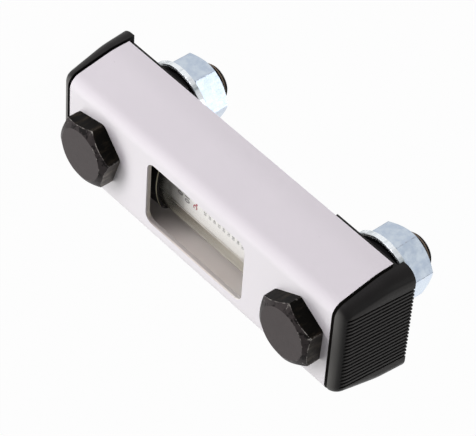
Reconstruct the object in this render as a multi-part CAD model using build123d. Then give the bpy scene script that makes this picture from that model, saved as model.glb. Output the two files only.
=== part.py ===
"""Tank level gauge with a 76 mm bolt spacing and M10 hollow bolts.

Frame: +Z is the long axis, upright in use. The window and the bolt heads face -Y, and the tank is on the
+Y side. The origin is midway between the two bolts, in a plane across their free thread ends, 2 mm inside
the tips.
"""
import os
from build123d import *

# Layout
BOLT_SPACING = 76.0
COVER_REAR_Y = -18.5  # rear edge of the cover, measured from the origin

# Cover: a folded channel, open at the back
COVER_LENGTH = 97.4
COVER_DEPTH = 18.9
COVER_HALF_REAR = 17.23
COVER_HALF_FRONT = 14.74
COVER_PARALLEL_DEPTH = 5.2  # the side walls are parallel this far, then lean in
COVER_EASE_RADIUS = 22.0  # of the gentle bend where they start to lean
COVER_WALL = 1.4
COVER_BEND_RADIUS = 3.6
WINDOW_LENGTH = 36.5
WINDOW_WIDTH = 20.1
WINDOW_CORNER = 2.6
COVER_HOLE_RADIUS = 5.6

# End pieces: ribbed head, block inside the cover, collar round the sight glass
FIT_GAP = 0.2
BLOCK_INNER_Z = 27.6
BLOCK_REAR_Y = 1.75
HEAD_GAP = 0.9
HEAD_REAR_Y = 2.4
HEAD_TOP_Z = 54.4
HEAD_SLOPE_DEG = 5.2
HEAD_SHOULDER = 3.8
GROOVE_COUNT = 20
GROOVE_PITCH = 1.22
GROOVE_WIDTH = 0.66
GROOVE_DEPTH = 0.5
COLLAR_INNER_Z = 17.5
COLLAR_WALL = 1.0
SOCKET_BOTTOM_Z = 25.2
OIL_CHANNEL_RADIUS = 3.0
OIL_CHANNEL_Y = -7.0

# Sight glass: a tube with an arched front
GLASS_HALF_WIDTH = 9.2
GLASS_ARCH_RADIUS = 18.0
GLASS_FRONT_Y = -15.2
GLASS_REAR_Y = -2.5
GLASS_CORNER = 3.0
GLASS_WALL = 2.0
GLASS_END_Z = 24.0
GLASS_CLEARANCE = 0.1

# Scale card inside the sight glass
CARD_HALF_WIDTH = 7.1
CARD_FRONT_Y = -10.9
CARD_THICKNESS = 0.6
CARD_END_Z = 23.5

# Hollow bolts, nuts, washers and seals
BOLT_RADIUS = 5.0
BOLT_END_Y = 20.5
BOLT_END_CHAMFER = 0.4
THREAD_PITCH_RADIUS = 4.5  # of the thread inside the nut
THREAD_MARGIN = 0.3  # beyond each face of the nut
BOLT_BORE_RADIUS = 2.5
BOLT_PORT_RADIUS = 2.0
HEX_ACROSS_FLATS = 17.0
HEAD_HEIGHT = 5.2
HEAD_FACE_RADIUS = 7.3
HEAD_REAR_RADIUS = 9.5
BLOCK_BORE_RADIUS = 5.25
NUT_HEIGHT = 8.3
NUT_FACE_RADIUS = 8.1
NUT_BORE_RADIUS = 4.55
CHAMFER_SLOPE = 0.577  # rise of a 30 degree chamfer
WASHER_RADIUS = 11.1
WASHER_THICKNESS = 1.6
WASHER_BORE_RADIUS = 5.25
WASHER_FRONT_Y = 7.2
REAR_SEAL_RADIUS = 9.4
REAR_SEAL_BORE_RADIUS = 5.1
REAR_SEAL_SEAT_DEPTH = 1.5
RING_SECTION_RADIUS = 1.0
RING_CENTRE_RADIUS = 6.15
RING_SEAT_RADIUS = 7.3
RING_SEAT_DEPTH = 2.1

# Angle of one hexagon corner about the bolt axis, from +X towards +Z
HEAD_TURN_DEG = {"upper": -2.0, "lower": 43.0}
NUT_TURN_DEG = {"upper": 45.0, "lower": 35.0}

BOLT_Z = BOLT_SPACING / 2
COVER_FRONT_Y = -COVER_DEPTH
COVER_END_Z = COVER_LENGTH / 2
HEAD_INNER_Z = COVER_END_Z + HEAD_GAP
NUT_FRONT_Y = WASHER_FRONT_Y + WASHER_THICKNESS


def channel_outline(inset, rear_y):
    """The cover's section as a face in the XY plane, shrunk by inset on the sides and the front."""
    front_y = COVER_FRONT_Y + inset
    half_rear = COVER_HALF_REAR - inset
    half_front = COVER_HALF_FRONT - inset
    outline = Polyline(
        (-half_rear, rear_y),
        (-half_rear, -COVER_PARALLEL_DEPTH),
        (-half_front, front_y),
        (half_front, front_y),
        (half_rear, -COVER_PARALLEL_DEPTH),
        (half_rear, rear_y),
        close=True,
    )
    front_corners = make_face(outline).vertices().sort_by(Axis.Y)[:2]
    face = fillet(front_corners, max(COVER_BEND_RADIUS - inset, 1.0))
    lean_corners = face.vertices().sort_by(Axis.Y)[-4:-2]
    return fillet(lean_corners, COVER_EASE_RADIUS)


def arched_outline(inset):
    """The sight glass's section: arched front, straight sides and flat back, shrunk by inset."""
    reach = 2 * GLASS_ARCH_RADIUS
    rear_y = GLASS_REAR_Y - inset
    disc = Pos(0, GLASS_FRONT_Y + GLASS_ARCH_RADIUS) * Circle(GLASS_ARCH_RADIUS - inset)
    strip = Pos(0, rear_y - reach / 2) * Rectangle(2 * (GLASS_HALF_WIDTH - inset), reach)
    face = disc & strip
    return fillet(face.vertices(), GLASS_CORNER - inset)


def column(face, z_low, z_high):
    """A face of the XY plane raised from z_low to z_high."""
    return Pos(0, 0, z_low) * extrude(face, amount=z_high - z_low)


def rod_y(radius, y_low, y_high, z):
    """A round rod along Y on one bolt's axis."""
    return Pos(0, (y_low + y_high) / 2, z) * Rot(90, 0, 0) * Cylinder(radius, y_high - y_low)


def hexagon(y_low, y_high, z, turn_deg, front_radius, rear_radius):
    """A hexagonal prism along Y whose ends are chamfered down to the two face circles."""
    corner_radius = HEX_ACROSS_FLATS / 3**0.5
    prism = extrude(RegularPolygon(corner_radius, 6), amount=y_high - y_low)
    height = y_high - y_low
    front_drop = (corner_radius - front_radius) * CHAMFER_SLOPE
    rear_drop = (corner_radius - rear_radius) * CHAMFER_SLOPE
    section = Polyline(
        (0, 0),
        (front_radius, 0),
        (corner_radius, front_drop),
        (corner_radius, height - rear_drop),
        (rear_radius, height),
        (0, height),
        close=True,
    )
    turned = revolve(Plane.XZ * make_face(section), Axis.Z)
    body = Rot(0, 0, -turn_deg) * (prism & turned)
    return Pos(0, y_low, z) * Rot(-90, 0, 0) * body


def make_cover():
    """One folded sheet: channel with a window and two bolt holes in its front."""
    outer = column(channel_outline(0, 0), -COVER_END_Z, COVER_END_Z)
    inner = column(channel_outline(COVER_WALL, COVER_WALL), -COVER_END_Z, COVER_END_Z)
    window_face = Plane.XZ * fillet(Rectangle(WINDOW_WIDTH, WINDOW_LENGTH).vertices(), WINDOW_CORNER)
    window = Pos(0, COVER_FRONT_Y / 2, 0) * extrude(window_face, amount=COVER_DEPTH)
    cover = outer - inner - window
    for z in (-BOLT_Z, BOLT_Z):
        cover -= rod_y(COVER_HOLE_RADIUS, COVER_FRONT_Y - COVER_WALL, COVER_FRONT_Y / 2, z)
    return cover


def make_end_piece():
    """The upper end piece, one moulding: ribbed head, bolt block and collar for the sight glass."""
    block = column(channel_outline(COVER_WALL + FIT_GAP, BLOCK_REAR_Y), BLOCK_INNER_Z, HEAD_INNER_Z + 1)
    collar = column(arched_outline(-COLLAR_WALL), COLLAR_INNER_Z, BLOCK_INNER_Z + 1)
    piece = block + make_head() + collar
    piece -= column(arched_outline(-GLASS_CLEARANCE), COLLAR_INNER_Z - 1, SOCKET_BOTTOM_Z)
    channel_length = BOLT_Z - SOCKET_BOTTOM_Z
    channel_z = (BOLT_Z + SOCKET_BOTTOM_Z) / 2
    piece -= Pos(0, OIL_CHANNEL_Y, channel_z) * Cylinder(OIL_CHANNEL_RADIUS, channel_length)
    piece -= rod_y(BLOCK_BORE_RADIUS, COVER_FRONT_Y, BLOCK_REAR_Y + 1, BOLT_Z)
    block_front_y = COVER_FRONT_Y + COVER_WALL + FIT_GAP
    piece -= rod_y(RING_SEAT_RADIUS, block_front_y - 1, block_front_y + RING_SEAT_DEPTH, BOLT_Z)
    seat_y = BLOCK_REAR_Y - REAR_SEAL_SEAT_DEPTH
    piece -= rod_y(REAR_SEAL_RADIUS + FIT_GAP, seat_y, BLOCK_REAR_Y + 1, BOLT_Z)
    return piece


def make_head():
    """The head outside the cover, with rounded shoulders and grooves that run out at the back."""
    head = column(channel_outline(0, HEAD_REAR_Y), COVER_END_Z - HEAD_SHOULDER, HEAD_TOP_Z + 2)
    top_plane = Pos(0, HEAD_REAR_Y, HEAD_TOP_Z) * Rot(HEAD_SLOPE_DEG, 0, 0)
    span = 2 * COVER_LENGTH
    head -= top_plane * Pos(0, 0, span / 2) * Box(span, span, span)
    top_face = head.faces().sort_by(Axis.Z)[-1]
    rear_edge = top_face.edges().sort_by(Axis.Y)[-1]
    shoulder_edges = [edge for edge in top_face.edges() if not edge.is_same(rear_edge)]
    head = fillet(shoulder_edges, HEAD_SHOULDER)
    for index in range(GROOVE_COUNT):
        x = (index - (GROOVE_COUNT - 1) / 2) * GROOVE_PITCH
        head -= top_plane * Pos(x, 0, 0) * Box(GROOVE_WIDTH, span, 2 * GROOVE_DEPTH)
    return head - Pos(0, 0, HEAD_INNER_Z - span / 2) * Box(span, span, span)


def make_sight_glass():
    """Clear tube with an arched front, seated in both collars."""
    wall = arched_outline(0) - arched_outline(GLASS_WALL)
    return column(wall, -GLASS_END_Z, GLASS_END_Z)


def make_glass_seal():
    """Gasket between the upper end of the sight glass and the bottom of its socket."""
    wall = arched_outline(0) - arched_outline(GLASS_WALL)
    return column(wall, GLASS_END_Z, SOCKET_BOTTOM_Z)


def make_scale_card():
    """Flat card behind the front of the sight glass."""
    card_y = CARD_FRONT_Y + CARD_THICKNESS / 2
    return Pos(0, card_y, 0) * Box(2 * CARD_HALF_WIDTH, CARD_THICKNESS, 2 * CARD_END_Z)


def make_bolt(z, turn_deg):
    """Hollow bolt: hexagon head, shank with an axial bore from the tank end and a cross port.

    The thread is a plain cylinder, at its pitch radius inside the nut and at its full radius beyond it.
    """
    head_front_y = COVER_FRONT_Y - HEAD_HEIGHT
    head = hexagon(head_front_y, COVER_FRONT_Y, z, turn_deg, HEAD_FACE_RADIUS, HEAD_REAR_RADIUS)
    shank = rod_y(BOLT_RADIUS, COVER_FRONT_Y - 1, BOLT_END_Y, z)
    end_edge = shank.edges().filter_by(GeomType.CIRCLE).sort_by(Axis.Y)[-1]
    shank = chamfer(end_edge, BOLT_END_CHAMFER)
    thread_start = NUT_FRONT_Y - THREAD_MARGIN
    thread_stop = NUT_FRONT_Y + NUT_HEIGHT + THREAD_MARGIN
    crests = rod_y(BOLT_RADIUS + 1, thread_start, thread_stop, z)
    shank -= crests - rod_y(THREAD_PITCH_RADIUS, thread_start, thread_stop, z)
    bolt = head + shank
    bolt -= rod_y(BOLT_BORE_RADIUS, OIL_CHANNEL_Y - BOLT_BORE_RADIUS, BOLT_END_Y + 1, z)
    bolt -= Pos(0, OIL_CHANNEL_Y, z) * Cylinder(BOLT_PORT_RADIUS, 4 * BOLT_RADIUS)
    return bolt


def make_nut(z, turn_deg):
    """Hexagon nut, chamfered on both faces."""
    rear_y = NUT_FRONT_Y + NUT_HEIGHT
    nut = hexagon(NUT_FRONT_Y, rear_y, z, turn_deg, NUT_FACE_RADIUS, NUT_FACE_RADIUS)
    return nut - rod_y(NUT_BORE_RADIUS, NUT_FRONT_Y - 1, rear_y + 1, z)


def make_washer(z):
    """Flat washer with broken edges."""
    washer = rod_y(WASHER_RADIUS, WASHER_FRONT_Y, NUT_FRONT_Y, z)
    washer = fillet(washer.edges().filter_by(GeomType.CIRCLE), WASHER_THICKNESS / 6)
    return washer - rod_y(WASHER_BORE_RADIUS, WASHER_FRONT_Y - 1, NUT_FRONT_Y + 1, z)


def make_rear_seal(z):
    """Thick rubber seal between the end piece and the tank wall."""
    front_y = BLOCK_REAR_Y - REAR_SEAL_SEAT_DEPTH
    seal = rod_y(REAR_SEAL_RADIUS, front_y, WASHER_FRONT_Y, z)
    return seal - rod_y(REAR_SEAL_BORE_RADIUS, front_y - 1, WASHER_FRONT_Y + 1, z)


def make_bolt_ring(z):
    """O-ring round the shank under the cover."""
    ring_y = COVER_FRONT_Y + COVER_WALL + FIT_GAP + RING_SECTION_RADIUS
    return Pos(0, ring_y, z) * Rot(90, 0, 0) * Torus(RING_CENTRE_RADIUS, RING_SECTION_RADIUS)


def save(shape, node):
    """Move a shape from the cover's rear edge to the row's origin and write it as one node."""
    export_step(Pos(0, COVER_REAR_Y, 0) * shape, f"parts/{node}.step")


os.makedirs("parts", exist_ok=True)
save(make_cover(), "cover")
save(make_sight_glass(), "sight_glass")
save(make_scale_card(), "scale_card")
upper_end_piece = make_end_piece()
upper_glass_seal = make_glass_seal()
save(upper_end_piece, "upper_end_piece")
save(upper_glass_seal, "upper_glass_seal")
save(mirror(upper_end_piece, Plane.XY), "lower_end_piece")
save(mirror(upper_glass_seal, Plane.XY), "lower_glass_seal")
for side, bolt_z in (("upper", BOLT_Z), ("lower", -BOLT_Z)):
    save(make_bolt(bolt_z, HEAD_TURN_DEG[side]), f"{side}_bolt")
    save(make_nut(bolt_z, NUT_TURN_DEG[side]), f"{side}_nut")
    save(make_washer(bolt_z), f"{side}_washer")
    save(make_rear_seal(bolt_z), f"{side}_rear_seal")
    save(make_bolt_ring(bolt_z), f"{side}_bolt_ring")
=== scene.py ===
import math
import bpy
from mathutils import Matrix, Vector


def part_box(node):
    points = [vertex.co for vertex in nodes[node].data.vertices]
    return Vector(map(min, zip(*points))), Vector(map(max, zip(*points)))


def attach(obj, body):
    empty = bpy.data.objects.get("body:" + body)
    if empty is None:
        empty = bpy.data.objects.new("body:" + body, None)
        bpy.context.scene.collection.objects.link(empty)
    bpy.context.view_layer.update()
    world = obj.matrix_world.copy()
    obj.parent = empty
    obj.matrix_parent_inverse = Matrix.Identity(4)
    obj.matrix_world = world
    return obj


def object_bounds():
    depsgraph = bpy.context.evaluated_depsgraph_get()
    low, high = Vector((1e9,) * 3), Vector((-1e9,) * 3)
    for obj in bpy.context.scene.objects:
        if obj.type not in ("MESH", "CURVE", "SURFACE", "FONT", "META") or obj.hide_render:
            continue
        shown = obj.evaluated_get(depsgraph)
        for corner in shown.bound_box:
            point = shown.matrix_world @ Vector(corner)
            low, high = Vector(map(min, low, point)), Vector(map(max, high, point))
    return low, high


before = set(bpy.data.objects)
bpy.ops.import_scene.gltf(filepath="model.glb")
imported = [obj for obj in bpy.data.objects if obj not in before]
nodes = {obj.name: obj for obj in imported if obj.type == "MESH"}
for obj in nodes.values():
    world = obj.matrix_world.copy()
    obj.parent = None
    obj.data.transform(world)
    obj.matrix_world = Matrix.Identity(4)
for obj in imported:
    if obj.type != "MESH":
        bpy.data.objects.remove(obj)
cad_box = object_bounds()


# Cover
# One sheet, folded to a channel, with a window and two bolt holes punched in its front, then powder
# coated white. The window's edges are duller bare steel, with painted shade on the long ones; the ends
# are painted near-black as shade; the inner skin has painted shade towards the lower end and painted
# light towards the upper.

class Value:
    """One socket of a finish, so that masks are written as plain arithmetic."""

    def __init__(self, finish, socket):
        self.finish = finish
        self.socket = socket

    def math(self, operation, *others):
        values = dict(enumerate((self, *others)))
        return self.finish.node("ShaderNodeMath", {"operation": operation}, values)

    def __add__(self, other):
        return self.math("ADD", other)

    def __sub__(self, other):
        return self.math("SUBTRACT", other)

    def __rsub__(self, other):
        return (self * -1.0).math("ADD", other)

    def __mul__(self, other):
        return self.math("MULTIPLY", other)

    def __truediv__(self, other):
        return self.math("DIVIDE", other)

    __radd__ = __add__
    __rmul__ = __mul__

    def step(self, low, high):
        """0 below low and 1 above high, smooth between."""
        ramp = {"interpolation_type": "SMOOTHSTEP"}
        return self.finish.node("ShaderNodeMapRange", ramp, {0: self, 1: low, 2: high})


class Finish:
    """A material whose nodes are added one line at a time; positions are in millimetres."""

    def __init__(self, name, **fixed):
        self.material = bpy.data.materials.new(name)
        self.material.use_nodes = True
        self.tree = self.material.node_tree
        self.shader = self.tree.nodes["Principled BSDF"]
        for socket, value in fixed.items():
            self.shader.inputs[socket.replace("_", " ")].default_value = value
        coordinates = self.node("ShaderNodeTexCoord", output="Object")
        scale = {0: coordinates, "Scale": 1000.0}
        self.place = self.node("ShaderNodeVectorMath", {"operation": "SCALE"}, scale)
        self.x, self.y, self.z = (self.part(self.place, axis) for axis in "XYZ")

    def node(self, kind, settings=None, values=None, output=0):
        """Adds a node, sets it up, fills its sockets and gives one of its outputs."""
        node = self.tree.nodes.new(kind)
        for name, value in (settings or {}).items():
            setattr(node, name, value)
        for name, value in (values or {}).items():
            if isinstance(value, Value):
                self.tree.links.new(value.socket, node.inputs[name])
            else:
                node.inputs[name].default_value = value
        return Value(self, node.outputs[output])

    def part(self, vector, axis):
        return self.node("ShaderNodeSeparateXYZ", None, {0: vector}, axis)

    def normal(self, axis):
        return self.part(self.node("ShaderNodeNewGeometry", output="Normal"), axis)

    def noise(self, scale, detail=3.0, roughness=0.5, stretch=None):
        place = self.place
        if stretch:
            place = self.node("ShaderNodeVectorMath", {"operation": "MULTIPLY"}, {0: place, 1: stretch})
        values = {"Vector": place, "Scale": scale, "Detail": detail, "Roughness": roughness}
        return self.node("ShaderNodeTexNoise", None, values)

    def blend(self, factor, first, second):
        """A colour that goes from first to second as factor goes from 0 to 1."""
        values = {0: factor, 6: first, 7: second}
        return self.node("ShaderNodeMix", {"data_type": "RGBA"}, values, 2)

    def drive(self, **varying):
        for socket, value in varying.items():
            self.tree.links.new(value.socket, self.shader.inputs[socket.replace("_", " ")])

    def relief(self, height, distance, strength=1.0):
        """Bump from a height of 0 to 1; distance is in millimetres."""
        values = {"Height": height, "Distance": distance / 1000.0, "Strength": strength}
        bump = self.node("ShaderNodeBump", None, values)
        self.tree.links.new(bump.socket, self.shader.inputs["Normal"])

    def cover_node(self, *names):
        for name in names:
            for held in nodes[name].material_slots:
                held.material = self.material


WINDOW_HALF_WIDTH = 10.3
WINDOW_HALF_LENGTH = 18.5
SHEET_BAND = 1.6  # depth behind the front skin that holds the punched edges
cover_front = 1000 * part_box("cover")[0][1]

paint = Finish("cover_paint", Specular_IOR_Level=0.12)
coat_fine = paint.noise(3.2, 2.0)
coat_broad = paint.noise(0.05, 2.0)
specks = paint.noise(1.1, 1.0).step(0.83, 0.86)
inner_skin = (paint.x * paint.normal("X") * -1.0).step(1.0, 4.0)
# Painted shade: the cover's end faces sit in the gaps under the heads and are painted near-black.
cover_end = (paint.z.math("ABSOLUTE") - 48.5).step(0.0, 0.1)
painted_end_shade = paint.normal("Z").math("ABSOLUTE").step(0.8, 0.95) * cover_end
behind_front = (paint.y - (cover_front + 0.25)).step(0.0, 0.35)
before_back = 1 - (paint.y - (cover_front + SHEET_BAND)).step(0.0, 0.1)
across_window = 1 - (paint.x.math("ABSOLUTE") - WINDOW_HALF_WIDTH).step(0.0, 0.2)
along_window = 1 - (paint.z.math("ABSOLUTE") - WINDOW_HALF_LENGTH).step(0.0, 0.2)
punched = behind_front * across_window * along_window * before_back
# The window's cut edges are bare beige steel; painted shade makes the long side edges dark grey.
side_edge = paint.normal("X").math("ABSOLUTE").step(0.6, 0.8)
cut_edge_and_shade = paint.blend(side_edge, (0.62, 0.57, 0.46, 1), (0.15, 0.135, 0.135, 1))
# Painted shade and light on the inner skin: darker towards the lower end, lighter towards the upper end.
low_end = (paint.z * -1.0 - 6.0).step(0.0, 14.0)
high_end = (paint.z - 6.0).step(0.0, 12.0)
painted_shading = paint.blend(low_end, (0.92, 0.86, 0.81, 1), (0.45, 0.41, 0.39, 1))
painted_shading = paint.blend(high_end, painted_shading, (0.99, 0.97, 0.92, 1))
white = paint.blend(coat_broad, (0.805, 0.772, 0.806, 1), (0.835, 0.804, 0.835, 1))
white = paint.blend(specks * 0.5, white, (0.35, 0.33, 0.34, 1))
white = paint.blend(inner_skin, white, painted_shading)
white = paint.blend(punched * 0.6, white, cut_edge_and_shade)
white = paint.blend(painted_end_shade, white, (0.06, 0.055, 0.05, 1))
paint.drive(Base_Color=white, Roughness=coat_fine * 0.08 + 0.52)
paint.relief(coat_fine, 0.012)
paint.cover_node("cover")


# End pieces
# Each is one glass-filled black moulding: ribbed head, bolt block and collar. The skin has the fine grain
# of the mould, with painted highlights on the rib crests and the collar's mouth edge, and painted light
# on the front of the head.

CREST_SLOPE = 0.091  # the ribbed end rises this much per millimetre of depth
HEAD_REAR_Y = -16.1  # where the ribbed end is highest
COLLAR_LIP_Z = 17.8
HEAD_START_Z = 48.0
head_top = 1000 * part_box("upper_end_piece")[1][2]

moulded = Finish("black_moulding", Specular_IOR_Level=0.12)
from_middle = moulded.z.math("ABSOLUTE")
grain = moulded.noise(6.0, 4.0, 0.65)
cloud = moulded.noise(0.18, 3.0)
crest_line = (moulded.y - HEAD_REAR_Y) * CREST_SLOPE + head_top
crest = 1 - (crest_line - from_middle - 0.1).step(0.0, 0.25)
# Painted light: the front faces of the ribbed heads are painted lighter, as lit.
painted_light_front = (moulded.normal("Y") * -1.0).step(0.55, 0.95) * (from_middle - HEAD_START_Z).step(0.0, 0.5)
# Painted highlight: the collar's mouth edge is painted pale.
lip_highlight = 1 - (from_middle - COLLAR_LIP_Z).step(0.0, 0.15)
lip_highlight = lip_highlight * (1 - moulded.normal("Z").math("ABSOLUTE").step(0.4, 0.7))
black = moulded.blend(cloud, (0.010, 0.0095, 0.0095, 1), (0.018, 0.0168, 0.0165, 1))
# Painted highlight on the rib crests, broken up by the grain.
black = moulded.blend(crest * (grain * 0.5 + 0.4), black, (0.090, 0.086, 0.084, 1))
black = moulded.blend(painted_light_front, black, (0.112, 0.109, 0.104, 1))
black = moulded.blend(lip_highlight, black, (0.60, 0.57, 0.42, 1))
moulded.drive(Base_Color=black, Roughness=cloud * 0.12 + 0.38 - crest * 0.04)
moulded.relief(grain, 0.02)
moulded.cover_node("upper_end_piece", "lower_end_piece")


# Seals
# Black nitrile rubber: two thick rings that meet the tank wall, two O-rings round the bolts under the
# cover, and two gaskets at the ends of the sight glass. They are matt.

rubber = Finish("seal_rubber", Specular_IOR_Level=0.12)
bloom = rubber.noise(0.5, 4.0, 0.6)
rubber.drive(
    Base_Color=rubber.blend(bloom, (0.003, 0.003, 0.0035, 1), (0.008, 0.008, 0.0085, 1)),
    Roughness=bloom * 0.2 + 0.6,
)
rubber.relief(rubber.noise(4.0, 3.0), 0.02)
for side in ("upper", "lower"):
    rubber.cover_node(f"{side}_rear_seal", f"{side}_bolt_ring", f"{side}_glass_seal")


# Bolts
# Two hollow hexagon bolts, hot forged, chamfered on top and blackened. The thin black coat is oily and
# wears through to bright steel in short broken lines along the head's edges, with a painted highlight on
# the upper half of the face's rim, painted light on the flats facing +X and +Z, and a painted brownish
# highlight on the thread crests.

BOLT_Z = {"upper": 38.0, "lower": -38.0}
HEAD_CORNER_TURN = {"upper": -2.0, "lower": 43.0}
HEAD_FACE_RADIUS = 7.3
HEAD_HALF_FLATS = 8.5
WEAR_DEPTH = 5.0  # the wear stops just short of the head's rear
CHAMFER_SLOPE = 0.577
THREAD_START_Y = -6.0
bolt_front = 1000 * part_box("upper_bolt")[0][1]
SIXTH_TURN = math.radians(60.0)


def round_bolt(finish, side):
    """Height above the bolt's axis, distance from it, and angle about it."""
    along = finish.z - BOLT_Z[side]
    radius = (finish.x * finish.x + along * along).math("SQRT")
    return along, radius, along.math("ARCTAN2", finish.x)


def from_corner(angle, corner_turn):
    """Angle to the nearest corner of a hexagon."""
    turn = (angle - math.radians(corner_turn)) / SIXTH_TURN
    return (turn - turn.math("ROUND")).math("ABSOLUTE") * SIXTH_TURN


for side in ("upper", "lower"):
    blackened = Finish(f"{side}_black_steel", Specular_IOR_Level=0.06)
    along, radius, angle = round_bolt(blackened, side)
    off_corner = from_corner(angle, HEAD_CORNER_TURN[side])
    reach = radius * (SIXTH_TURN / 2 - off_corner).math("COSINE")
    slope = (radius - HEAD_FACE_RADIUS).math("MAXIMUM", 0.0) * CHAMFER_SLOPE
    below = blackened.y - bolt_front - slope
    flats = (below - 0.03).step(0.0, 0.12)
    above_rear = 1 - (blackened.y - (bolt_front + WEAR_DEPTH)).step(0.0, 0.2)
    cone = (radius - HEAD_FACE_RADIUS).step(0.0, 0.1) * (1 - flats)
    chamfer_edge = 1 - (below.math("ABSOLUTE") - 0.02).step(0.0, 0.14)
    chamfer_edge = chamfer_edge * (reach - (HEAD_HALF_FLATS - 0.12)).step(0.0, 0.08)
    # Painted highlight: broken bright lines on the upper half of the face's rim.
    face_edge_glint = 1 - (radius - (HEAD_FACE_RADIUS + 0.08)).math("ABSOLUTE").step(0.02, 0.14)
    face_edge_glint = face_edge_glint * (along / radius).step(0.1, 0.7)
    corner_edge = (1 - (off_corner * 9.0).step(0.08, 0.3)) * (radius - 8.3).step(0.0, 0.4)
    broken = blackened.noise(0.55, 6.0, 0.8).step(0.5, 0.66)
    rubbed = blackened.noise(0.8, 6.0, 0.8).step(0.47, 0.6)
    # Real wear on the chamfer and corners, plus the painted highlight on the face's rim.
    wear_and_glint = chamfer_edge * rubbed * 0.8 + (face_edge_glint + corner_edge) * broken * 0.8
    wear_and_glint = wear_and_glint.math("MINIMUM", 1.0) * above_rear
    mottle = blackened.noise(0.7, 5.0, 0.6)
    pits = blackened.noise(0.45, 4.0, 0.7).step(0.5, 0.6)
    streak = blackened.noise(0.5, 4.0, 0.7, (1.0, 0.25, 1.0)).step(0.48, 0.7)
    # Painted light: the flats facing +X and +Z are painted lighter grey, as lit.
    painted_light_flank = (blackened.normal("X") + blackened.normal("Z")).step(0.9, 1.2) * flats * above_rear
    flank = blackened.blend(streak, (0.0015, 0.0013, 0.0008, 1), (0.022, 0.017, 0.011, 1))
    grey_flank = blackened.blend(streak, (0.11, 0.10, 0.09, 1), (0.24, 0.21, 0.18, 1))
    flank = blackened.blend(painted_light_flank, flank, grey_flank)
    # Painted highlight: the thread crests are painted brownish.
    thread_crest_highlight = (radius - 5.02).step(0.0, 0.12) * (blackened.y - THREAD_START_Y).step(0.0, 0.2)
    coat = blackened.blend(mottle, (0.038, 0.032, 0.032, 1), (0.060, 0.050, 0.051, 1))
    coat = blackened.blend(cone * (pits * 0.55 + 0.35), coat, (0.003, 0.0025, 0.0025, 1))
    coat = blackened.blend(flats, coat, flank)
    coat = blackened.blend(thread_crest_highlight, coat, (0.20, 0.155, 0.115, 1))
    coat = blackened.blend(wear_and_glint, coat, (0.42, 0.40, 0.37, 1))
    metal = (1 - flats) * 0.5 - cone * 0.2 + wear_and_glint + painted_light_flank * 0.5
    blackened.drive(Base_Color=coat, Roughness=mottle * 0.14 + 0.34, Metallic=metal.math("MINIMUM", 1.0))
    blackened.relief(blackened.noise(2.2, 5.0, 0.6), 0.03)
    blackened.cover_node(f"{side}_bolt")


# Bolt threads
# The free end of each bolt shows its M10 thread behind the nut: a rolled ridge of 1.5 mm pitch, blackened
# with the bolt, with a painted brownish highlight on its crest.

THREAD_PITCH = 0.0015
THREAD_ROOT = 0.00498
THREAD_RISE = 0.00026
THREAD_TO_NUT = 0.0003
THREAD_SHORTER = 0.0007  # than the free end, which leaves its tip plain


def new_tree(name, **kinds):
    """A tree with named inputs of the given kinds, and the sockets that they come from."""
    tree = bpy.data.node_groups.new(name, "GeometryNodeTree")
    sockets = tree.interface
    sockets.new_socket("Geometry", in_out="INPUT", socket_type="NodeSocketGeometry")
    for label, kind in kinds.items():
        sockets.new_socket(label.replace("_", " "), in_out="INPUT", socket_type=f"NodeSocket{kind}")
    sockets.new_socket("Geometry", in_out="OUTPUT", socket_type="NodeSocketGeometry")
    return tree, tree.nodes.new("NodeGroupInput").outputs


def close_tree(tree, geometry, material):
    """Makes instances real, paints them and sends them out."""
    real = tree.nodes.new("GeometryNodeRealizeInstances")
    tree.links.new(geometry, real.inputs[0])
    painted = tree.nodes.new("GeometryNodeSetMaterial")
    tree.links.new(real.outputs[0], painted.inputs["Geometry"])
    tree.links.new(material, painted.inputs["Material"])
    tree.links.new(painted.outputs[0], tree.nodes.new("NodeGroupOutput").inputs[0])


def thread_tree():
    """A ridge of four-sided section that winds round +Z, then is turned to lie along +Y."""
    tree, given = new_tree(
        "thread_ridge",
        Pitch="Float",
        Root_radius="Float",
        Length="Float",
        Rise="Float",
        Place="Vector",
        Material="Material",
    )
    link = tree.links.new
    turns = tree.nodes.new("ShaderNodeMath")
    turns.operation = "DIVIDE"
    link(given["Length"], turns.inputs[0])
    link(given["Pitch"], turns.inputs[1])
    spiral = tree.nodes.new("GeometryNodeCurveSpiral")
    spiral.inputs["Resolution"].default_value = 72
    link(turns.outputs[0], spiral.inputs["Rotations"])
    link(given["Root radius"], spiral.inputs["Start Radius"])
    link(given["Root radius"], spiral.inputs["End Radius"])
    link(given["Length"], spiral.inputs["Height"])
    section = tree.nodes.new("GeometryNodeCurvePrimitiveCircle")
    section.inputs["Resolution"].default_value = 4
    link(given["Rise"], section.inputs["Radius"])
    sweep = tree.nodes.new("GeometryNodeCurveToMesh")
    sweep.inputs["Fill Caps"].default_value = True
    link(spiral.outputs[0], sweep.inputs[0])
    link(section.outputs[0], sweep.inputs[1])
    turned = tree.nodes.new("GeometryNodeTransform")
    turned.inputs["Rotation"].default_value = (-math.pi / 2, 0, 0)
    link(sweep.outputs[0], turned.inputs["Geometry"])
    link(given["Place"], turned.inputs["Translation"])
    close_tree(tree, turned.outputs[0], given["Material"])
    return tree


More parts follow.
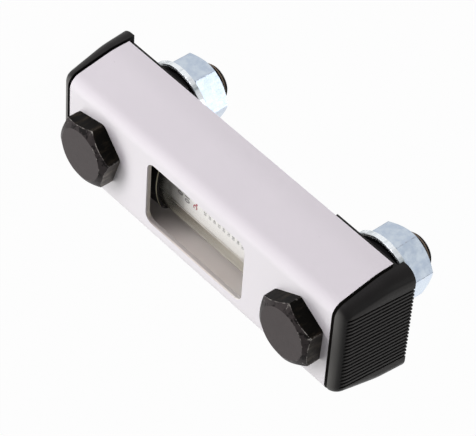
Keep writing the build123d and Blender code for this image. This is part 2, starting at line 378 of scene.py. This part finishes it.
def grown(name, tree, slot, **values):
    """Runs a tree on an empty mesh, keeps the result as a plain mesh and lets it ride on the body."""
    seed = bpy.data.objects.new(f"{name}_seed", bpy.data.meshes.new(f"{name}_seed"))
    bpy.context.scene.collection.objects.link(seed)
    modifier = seed.modifiers.new("grow", "NODES")
    modifier.node_group = tree
    for item in tree.interface.items_tree:
        label = item.name.replace(" ", "_")
        if item.in_out == "INPUT" and label in values:
            modifier[item.identifier] = values[label]
    graph = bpy.context.evaluated_depsgraph_get()
    mesh = bpy.data.meshes.new_from_object(seed.evaluated_get(graph))
    bpy.data.objects.remove(seed)
    piece = bpy.data.objects.new(name, mesh)
    bpy.context.scene.collection.objects.link(piece)
    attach(piece, "root")
    return piece


thread = thread_tree()
for side in ("upper", "lower"):
    nut_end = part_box(f"{side}_nut")[1][1]
    bolt_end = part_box(f"{side}_bolt")[1][1]
    grown(
        f"{side}_bolt_thread",
        thread,
        "black_steel",
        Pitch=THREAD_PITCH,
        Root_radius=THREAD_ROOT,
        Length=bolt_end - nut_end - THREAD_SHORTER,
        Rise=THREAD_RISE,
        Place=(0.0, nut_end + THREAD_TO_NUT, BOLT_Z[side] / 1000),
        Material=bpy.data.materials[f"{side}_black_steel"],
    )


# Nuts and washers
# Cold formed steel with bright blue zinc plate: cloudy bluish patches, and small nicks along the nuts'
# edges from being plated loose in a barrel. The washers are brighter, with painted shade on the front,
# which faces the seals.

NUT_CORNER_TURN = {"upper": 45.0, "lower": 35.0}
NUT_CORNER_RADIUS = 9.5
WASHER_BRIGHT_RIM = 10.2  # outside this radius the washer's front is bright too
for side in ("upper", "lower"):
    zinc = Finish(f"{side}_zinc_steel", Metallic=1.0)
    _, radius, angle = round_bolt(zinc, side)
    off_corner = from_corner(angle, NUT_CORNER_TURN[side]) * NUT_CORNER_RADIUS
    edge = 1 - off_corner.step(0.06, 0.26)
    patches = zinc.noise(0.45, 5.0, 0.6)
    nicks = zinc.noise(2.6, 3.0, 0.6).step(0.66, 0.72)
    rubbed = zinc.noise(0.9, 5.0, 0.75).step(0.42, 0.56)
    turning = zinc.node("ShaderNodeTexNoise", {"noise_dimensions": "1D"}, {"W": radius, "Scale": 6.0})
    plate = zinc.blend(patches.step(0.35, 0.65), (0.465, 0.54, 0.65, 1), (0.575, 0.645, 0.725, 1))
    plate = zinc.blend(nicks * 0.5, plate, (0.40, 0.44, 0.50, 1))
    plate = zinc.blend(edge * rubbed, plate, (0.36, 0.40, 0.47, 1))
    zinc.drive(Base_Color=plate, Roughness=patches * 0.16 + 0.24)
    zinc.relief(patches * 0.6 + turning * 0.2 + nicks * 0.2, 0.04)
    zinc.cover_node(f"{side}_nut")

    ground = Finish(f"{side}_washer_zinc", Metallic=0.9)
    _, radius, angle = round_bolt(ground, side)
    swirl = ground.node("ShaderNodeCombineXYZ", None, {0: radius * 3.2, 1: angle * 3.0})
    lumps = ground.node("ShaderNodeTexNoise", None, {"Vector": swirl, "Scale": 1.0, "Detail": 3.0})
    inside_rim = 1 - (radius - WASHER_BRIGHT_RIM).step(0.0, 0.3)
    # Painted shade: the washer's front, which faces the seals, is painted near-black inside the rim.
    painted_shade_front = (ground.normal("Y") * -1.0).step(0.5, 0.9) * inside_rim
    bare = ground.blend(lumps.step(0.3, 0.45), (0.42, 0.47, 0.50, 1), (0.88, 0.92, 0.95, 1))
    bare = ground.blend(painted_shade_front, bare, (0.012, 0.012, 0.013, 1))
    ground.drive(Base_Color=bare, Roughness=lumps * 0.2 + 0.15)
    ground.relief(lumps * 0.35 + (radius - 9.3) * -0.45, 1.0)
    ground.cover_node(f"{side}_washer")


# Sight glass
# Clear moulded plastic tube with an arched front. It is nearly clear when looked straight through, olive
# along its front corners, with a pale line beside them, and has painted shade towards its ends.

TUBE_SHADE_FROM_Z = 12.5
CORNER_X = 8.2
PALE_LINE_X = 6.8
glass_front = 1000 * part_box("sight_glass")[0][1]

clear = Finish("clear_tube", Roughness=0.06, IOR=1.49)
edge_on = clear.node("ShaderNodeLayerWeight", None, {"Blend": 0.5}, "Facing")
depth = clear.y - glass_front
across = clear.x.math("ABSOLUTE")
# Painted shade: the tube darkens towards its ends, next to the black collars.
painted_tube_shade = (clear.z.math("ABSOLUTE") - TUBE_SHADE_FROM_Z).step(0.0, 5.0)
corner = (across - CORNER_X).step(0.0, 0.4) * (1 - (depth - 5.2).step(0.0, 0.4))
pale = (across - PALE_LINE_X).step(0.0, 0.2) * (1 - (across - (PALE_LINE_X + 0.6)).step(0.0, 0.2))
pale = pale * (depth - 2.9).step(0.0, 0.3) * (1 - (depth - 4.6).step(0.0, 0.6))
upwards = (clear.z + 14.0).step(0.0, 28.0)
olive = clear.blend(upwards, (0.47, 0.42, 0.33, 1), (0.90, 0.86, 0.70, 1))
tint = clear.blend(edge_on, (0.90, 0.90, 0.86, 1), (0.34, 0.30, 0.20, 1))
tint = clear.blend(corner, tint, olive)
tint = clear.blend(pale, tint, (0.95, 0.93, 0.88, 1))
tint = clear.blend(painted_tube_shade, tint, (0.03, 0.028, 0.024, 1))
# Opacity: the tube's haze when seen edge-on, plus the painted shade towards its ends.
painted_shading = edge_on.math("POWER", 4.0) * 0.4 + 0.01 + painted_tube_shade * painted_tube_shade * 0.5
clear.drive(Base_Color=tint, Alpha=painted_shading + corner * 0.6 + pale * 0.8)
clear.cover_node("sight_glass")


# Scale card
# Stiff ivory card behind the front of the sight glass, printed with a plain temperature scale: a column
# of numbers beside a ladder of division lines, a red unit mark, and two larger grey figures below it.

CARD_NUMBERS = ("20", "30", "40", "50", "60", "70", "80", "90", "100")
NUMBER_PITCH = 0.00177
NUMBER_HEIGHT = 0.0013
NUMBER_X = 0.0027
NUMBER_START_Z = -0.0050
LADDER_START = (-0.0006, -0.0068)  # x and z of the lowest line
LADDER_COUNT = 21
LINE_LENGTH = 0.0014
LINE_WIDTH = 0.00025
PRINT_LIFT = 0.00003
card_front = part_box("scale_card")[0][1]

board = Finish("card", Roughness=0.7)
fibre = board.noise(1.5, 5.0, 0.65)
board.drive(Base_Color=board.blend(fibre, (0.95, 0.93, 0.91, 1), (1.0, 0.985, 0.965, 1)))
board.relief(fibre, 0.01)
board.cover_node("scale_card")


def ink(name, light, dark):
    """Printing ink, cloudy between its light and dark shade."""
    colour = Finish(name, Roughness=0.5)
    colour.drive(Base_Color=colour.blend(colour.noise(2.0, 3.0), light, dark))
    return colour.material


black_ink = ink("black_ink", (0.36, 0.34, 0.34, 1), (0.18, 0.17, 0.18, 1))
red_ink = ink("red_ink", (0.50, 0.06, 0.09, 1), (0.34, 0.03, 0.06, 1))


def printed(name, words, height, x, z, material, bold=0.0):
    """Words that stand upright on the card's front, centred at x and z."""
    curve = bpy.data.curves.new(name, "FONT")
    curve.body = words
    curve.size = height
    curve.offset = bold
    curve.align_x = "CENTER"
    curve.align_y = "CENTER"
    curve.extrude = PRINT_LIFT / 3
    curve.resolution_u = 3
    text = bpy.data.objects.new(name, curve)
    mesh = bpy.data.meshes.new_from_object(text)
    bpy.data.objects.remove(text)
    stand = Matrix.Translation((x, card_front - PRINT_LIFT, z)) @ Matrix.Rotation(math.pi / 2, 4, "X")
    mesh.transform(stand)
    mesh.materials.clear()
    mesh.materials.append(material)
    piece = bpy.data.objects.new(name, mesh)
    bpy.context.scene.collection.objects.link(piece)
    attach(piece, "root")
    return piece


for index, words in enumerate(CARD_NUMBERS):
    place_z = NUMBER_START_Z + index * NUMBER_PITCH
    printed(f"number_{words}", words, NUMBER_HEIGHT, NUMBER_X, place_z, black_ink)
grey_ink = ink("grey_ink", (0.42, 0.41, 0.41, 1), (0.22, 0.21, 0.21, 1))
printed("unit_mark", "\u00b0C", 0.0019, 0.0029, -0.0088, red_ink, bold=0.00010)
printed("worn_ten", "10", 0.0024, 0.0030, -0.0119, grey_ink, bold=0.0001)
printed("worn_zero", "0", 0.0026, 0.0028, -0.0146, grey_ink, bold=0.0001)


def ladder_tree():
    """A row of short lines up the card, from one flat block repeated along +Z."""
    tree, given = new_tree(
        "division_ladder",
        Count="Int",
        Pitch="Float",
        Start="Vector",
        Line_size="Vector",
        Material="Material",
    )
    link = tree.links.new
    offset = tree.nodes.new("ShaderNodeCombineXYZ")
    link(given["Pitch"], offset.inputs["Z"])
    row = tree.nodes.new("GeometryNodeMeshLine")
    link(given["Count"], row.inputs["Count"])
    link(given["Start"], row.inputs["Start Location"])
    link(offset.outputs[0], row.inputs["Offset"])
    block = tree.nodes.new("GeometryNodeMeshCube")
    link(given["Line size"], block.inputs["Size"])
    repeat = tree.nodes.new("GeometryNodeInstanceOnPoints")
    link(row.outputs[0], repeat.inputs["Points"])
    link(block.outputs[0], repeat.inputs["Instance"])
    close_tree(tree, repeat.outputs[0], given["Material"])
    return tree


grown(
    "division_lines",
    ladder_tree(),
    "card",
    Count=LADDER_COUNT,
    Pitch=NUMBER_PITCH / 2,
    Start=(LADDER_START[0], card_front - PRINT_LIFT, LADDER_START[1]),
    Line_size=(LINE_LENGTH, PRINT_LIFT, LINE_WIDTH),
    Material=black_ink,
)


# Studio
# A wide white floor level with the gauge's lower end, in a white surround. Three broad soft lamps stand
# in front and below, a fourth fills the visible side, and two weak ones light the back and the nuts.

FLOOR_REACH = 3.0
FLOOR_WHITENESS = 0.975
WORLD_LIGHT = 0.18
MIRRORED_LIGHT = 0.75


def seen_ray(tree, *kinds):
    """The Light Path output that is 1 for rays of any of these kinds."""
    path = tree.nodes.new("ShaderNodeLightPath")
    seen = path.outputs[kinds[0]]
    for kind in kinds[1:]:
        either = tree.nodes.new("ShaderNodeMath")
        either.operation = "MAXIMUM"
        tree.links.new(seen, either.inputs[0])
        tree.links.new(path.outputs[kind], either.inputs[1])
        seen = either.outputs[0]
    return seen


def studio_white(name, share):
    """White that the camera and mirrors see almost flat, so that only a trace of a shadow shows on it."""
    material = bpy.data.materials.new(name)
    material.use_nodes = True
    tree = material.node_tree
    shader = tree.nodes["Principled BSDF"]
    shader.inputs["Base Color"].default_value = (0.9, 0.9, 0.9, 1)
    shader.inputs["Roughness"].default_value = 0.9
    glow = tree.nodes.new("ShaderNodeEmission")
    part = tree.nodes.new("ShaderNodeMath")
    part.operation = "MULTIPLY"
    part.inputs[1].default_value = share
    tree.links.new(seen_ray(tree, "Is Camera Ray", "Is Glossy Ray"), part.inputs[0])
    mix = tree.nodes.new("ShaderNodeMixShader")
    tree.links.new(part.outputs[0], mix.inputs[0])
    tree.links.new(shader.outputs[0], mix.inputs[1])
    tree.links.new(glow.outputs[0], mix.inputs[2])
    tree.links.new(mix.outputs[0], tree.nodes["Material Output"].inputs[0])
    return material


floor_z = cad_box[0][2]
floor_mesh = bpy.data.meshes.new("floor")
corners = [(x * FLOOR_REACH, y * FLOOR_REACH, floor_z) for x, y in ((-1, -1), (1, -1), (1, 1), (-1, 1))]
floor_mesh.from_pydata(corners, [], [(0, 1, 2, 3)])
floor_mesh.materials.append(studio_white("floor_white", FLOOR_WHITENESS))
floor = bpy.data.objects.new("floor", floor_mesh)
bpy.context.scene.collection.objects.link(floor)
floor.visible_shadow = False

world = bpy.data.worlds.new("surround")
world.use_nodes = True
bpy.context.scene.world = world
surround = world.node_tree.nodes["Background"]
surround.inputs["Color"].default_value = (1.0, 1.0, 1.0, 1)
mirrored = world.node_tree.nodes.new("ShaderNodeMix")
mirrored.data_type = "FLOAT"
mirrored.inputs[2].default_value = WORLD_LIGHT
mirrored.inputs[3].default_value = MIRRORED_LIGHT
world.node_tree.links.new(seen_ray(world.node_tree, "Is Glossy Ray"), mirrored.inputs[0])
strength = world.node_tree.nodes.new("ShaderNodeMix")
strength.data_type = "FLOAT"
strength.inputs[3].default_value = 1.0
world.node_tree.links.new(seen_ray(world.node_tree, "Is Camera Ray"), strength.inputs[0])
world.node_tree.links.new(mirrored.outputs[0], strength.inputs[2])
world.node_tree.links.new(strength.outputs[0], surround.inputs["Strength"])


def soft_lamp(name, place, size, power, colour=(1, 1, 1)):
    """A square soft box that faces the middle of the gauge."""
    lamp = bpy.data.lights.new(name, "AREA")
    lamp.energy = power
    lamp.size = size
    lamp.color = colour
    holder = bpy.data.objects.new(name, lamp)
    bpy.context.scene.collection.objects.link(holder)
    holder.location = place
    aim = Vector((0, -0.02, 0)) - Vector(place)
    holder.rotation_euler = aim.to_track_quat("-Z", "Y").to_euler()


soft_lamp("key", (0.90, -1.40, -1.05), 1.1, 20.4, (0.98, 1.0, 0.97))
soft_lamp("low", (0.0, -1.35, -1.25), 0.8, 8.2, (0.99, 1.0, 0.98))
soft_lamp("front", (-0.87, -1.22, -1.00), 0.8, 12.4, (1.0, 0.97, 1.0))
soft_lamp("fill", (-0.88, -0.28, -0.10), 0.6, 4.0, (1.0, 0.95, 1.0))
soft_lamp("back", (-0.10, 0.40, 0.70), 0.2, 0.8)
soft_lamp("backdrop", (0.75, 0.42, 0.07), 0.3, 0.2)


# Camera
# It looks down on the gauge from the front left, and is rolled so that the gauge lies across the frame
# with its upper end to the right.

CAMERA_PLACE = Vector((-0.470914, -0.344536, 0.335269))
CAMERA_AIM = Vector((0.002905, -0.023816, 0.000937))
CAMERA_ROLL = 130.95
camera = bpy.data.cameras.new("camera")
camera.sensor_width = 36.0
camera.lens = 203.37
camera.clip_start = 0.01
holder = bpy.data.objects.new("camera", camera)
bpy.context.scene.collection.objects.link(holder)
look = (CAMERA_AIM - CAMERA_PLACE).to_track_quat("-Z", "Y").to_matrix().to_4x4()
roll = Matrix.Rotation(math.radians(CAMERA_ROLL), 4, "Z")
holder.matrix_world = Matrix.Translation(CAMERA_PLACE) @ look @ roll
bpy.context.scene.camera = holder
bpy.context.scene.view_settings.view_transform = "Standard"
